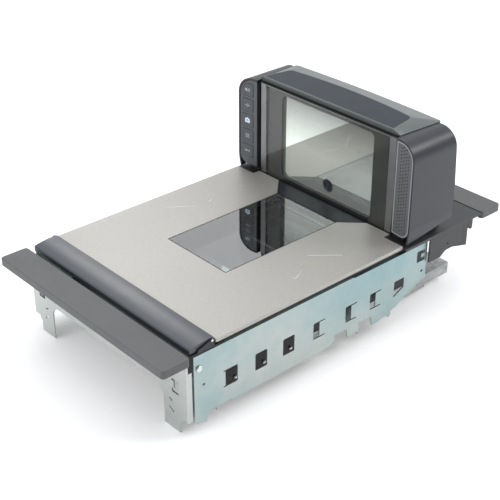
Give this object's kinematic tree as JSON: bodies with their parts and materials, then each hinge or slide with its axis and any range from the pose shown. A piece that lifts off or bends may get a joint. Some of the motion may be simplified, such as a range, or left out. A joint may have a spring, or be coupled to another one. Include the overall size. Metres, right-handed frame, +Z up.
{
  "type": "flatbed barcode scanner",
  "caption": "In-counter flatbed barcode scanner and scale: steel weighing platter with a horizontal window, upright window tower with side keys, and a pressed-steel counter frame.",
  "frame": {"origin": "middle of the footprint, on the surface that the feet stand on", "axes": "+Z up, +Y from the operator's side towards the tower, +X to the operator's right"},
  "size_m": [0.304, 0.54, 0.2435],
  "materials": {
    "zinc_rail": "zinc-plated pressed steel, faintly blue",
    "zinc_bracket": "zinc-plated pressed steel",
    "galvanised": "galvanised sheet with a faint spangle",
    "filler_plastic": "fine-textured mid grey",
    "rail_bar": "satin blue-grey",
    "stainless": "brushed stainless sheet",
    "cover_plastic": "satin blue-grey",
    "bonnet_plastic": "satin grey",
    "inset_plastic": "satin slate blue",
    "deck_plastic": "fine-textured dark grey",
    "black_plastic": "black, fine texture",
    "black_steel": "black powder coat",
    "mask_black": "black print behind glass",
    "window_glass": "clear polished",
    "platter_glass": "clear polished, darker below",
    "mirror": "front-silvered",
    "strip_metal": "satin anodised",
    "grille_plastic": "perforated satin grey",
    "bezel_plastic": "satin light grey",
    "panel_plastic": "satin grey",
    "key_plastic": "satin key caps with lit symbols",
    "rubber": "matte",
    "cast_alloy": "die-cast, matte",
    "board": "green circuit board",
    "lens_glass": "coated lens",
    "socket_plastic": "black and metal sockets",
    "screw_steel": "zinc-plated",
    "speaker_black": "paper cone and steel frame"
  },
  "bodies": {
    "scanner": {"base_tray": "galvanised", "bonnet": "bonnet_plastic", "bonnet_inset": "inset_plastic", "cable_sockets": "socket_plastic", "chassis_tub": "black_plastic", "foot_pads": "rubber", "foot_studs": "screw_steel", "front_end_bracket": "zinc_bracket", "front_filler_bar": "filler_plastic", "grille_bezel": "bezel_plastic", "illumination_boards": "board", "imager_lenses": "lens_glass", "imagers": "black_plastic", "interface_panel": "black_steel", "key_board": "board", "key_panel": "panel_plastic", "keypad_sheet": "rubber", "load_cells": "cast_alloy", "lower_mirrors": "mirror", "lower_window": "window_glass", "main_board": "board", "optics_cover": "black_plastic", "platter_bumpers": "rubber", "rail_gussets": "zinc_rail", "rail_screws": "screw_steel", "rear_cover": "deck_plastic", "rear_cover_screws": "screw_steel", "rear_deck": "deck_plastic", "rear_filler_bar": "filler_plastic", "rear_support": "black_steel", "scale_spider": "cast_alloy", "side_cover_left": "cover_plastic", "side_cover_right": "cover_plastic", "side_mirrors": "mirror", "side_rail_left": "zinc_rail", "side_rail_right": "zinc_rail", "speaker": "speaker_black", "speaker_grille": "grille_plastic", "tower_housing": "black_plastic", "tower_mirror": "mirror", "tower_plinth": "black_plastic", "tower_window": "window_glass", "tub_screws": "screw_steel", "window_mask": "mask_black", "window_side_strips": "strip_metal", "window_top_strip": "strip_metal"},
    "platter_set": {"platter": "stainless", "window_frame": "black_plastic", "window_gasket": "rubber", "platter_glass": "platter_glass", "platter_trim": "rail_bar", "produce_rail_base": "black_steel", "produce_rail_pins": "screw_steel"},
    "produce_rail": {"produce_rail": "rail_bar"},
    "menu_key": {"menu_key": "key_plastic"},
    "spare_key": {"spare_key": "key_plastic"},
    "camera_key": {"camera_key": "key_plastic"},
    "operator_key": {"operator_key": "key_plastic"},
    "volume_key": {"volume_key": "key_plastic"}
  },
  "joints": [
    {"name": "platter_lift", "type": "slide", "parent": "scanner", "child": "platter_set", "axis": [0, 0, 1], "range_m": [0, 0.06]},
    {"name": "produce_rail_flip", "type": "hinge", "parent": "platter_set", "child": "produce_rail", "pos_m": [0, -0.1995, 0.1092], "axis": [-1, 0, 0], "range_deg": [0, 90]},
    {"name": "menu_press", "type": "slide", "parent": "scanner", "child": "menu_key", "axis": [-0.1253, 0.9921, 0], "range_m": [0, 0.0012], "stiffness_N_per_m": 400},
    {"name": "spare_press", "type": "slide", "parent": "scanner", "child": "spare_key", "axis": [-0.1253, 0.9921, 0], "range_m": [0, 0.0012], "stiffness_N_per_m": 400},
    {"name": "camera_press", "type": "slide", "parent": "scanner", "child": "camera_key", "axis": [-0.1253, 0.9921, 0], "range_m": [0, 0.0012], "stiffness_N_per_m": 400},
    {"name": "operator_press", "type": "slide", "parent": "scanner", "child": "operator_key", "axis": [-0.1253, 0.9921, 0], "range_m": [0, 0.0012], "stiffness_N_per_m": 400},
    {"name": "volume_press", "type": "slide", "parent": "scanner", "child": "volume_key", "axis": [-0.1253, 0.9921, 0], "range_m": [0, 0.0012], "stiffness_N_per_m": 400}
  ]
}
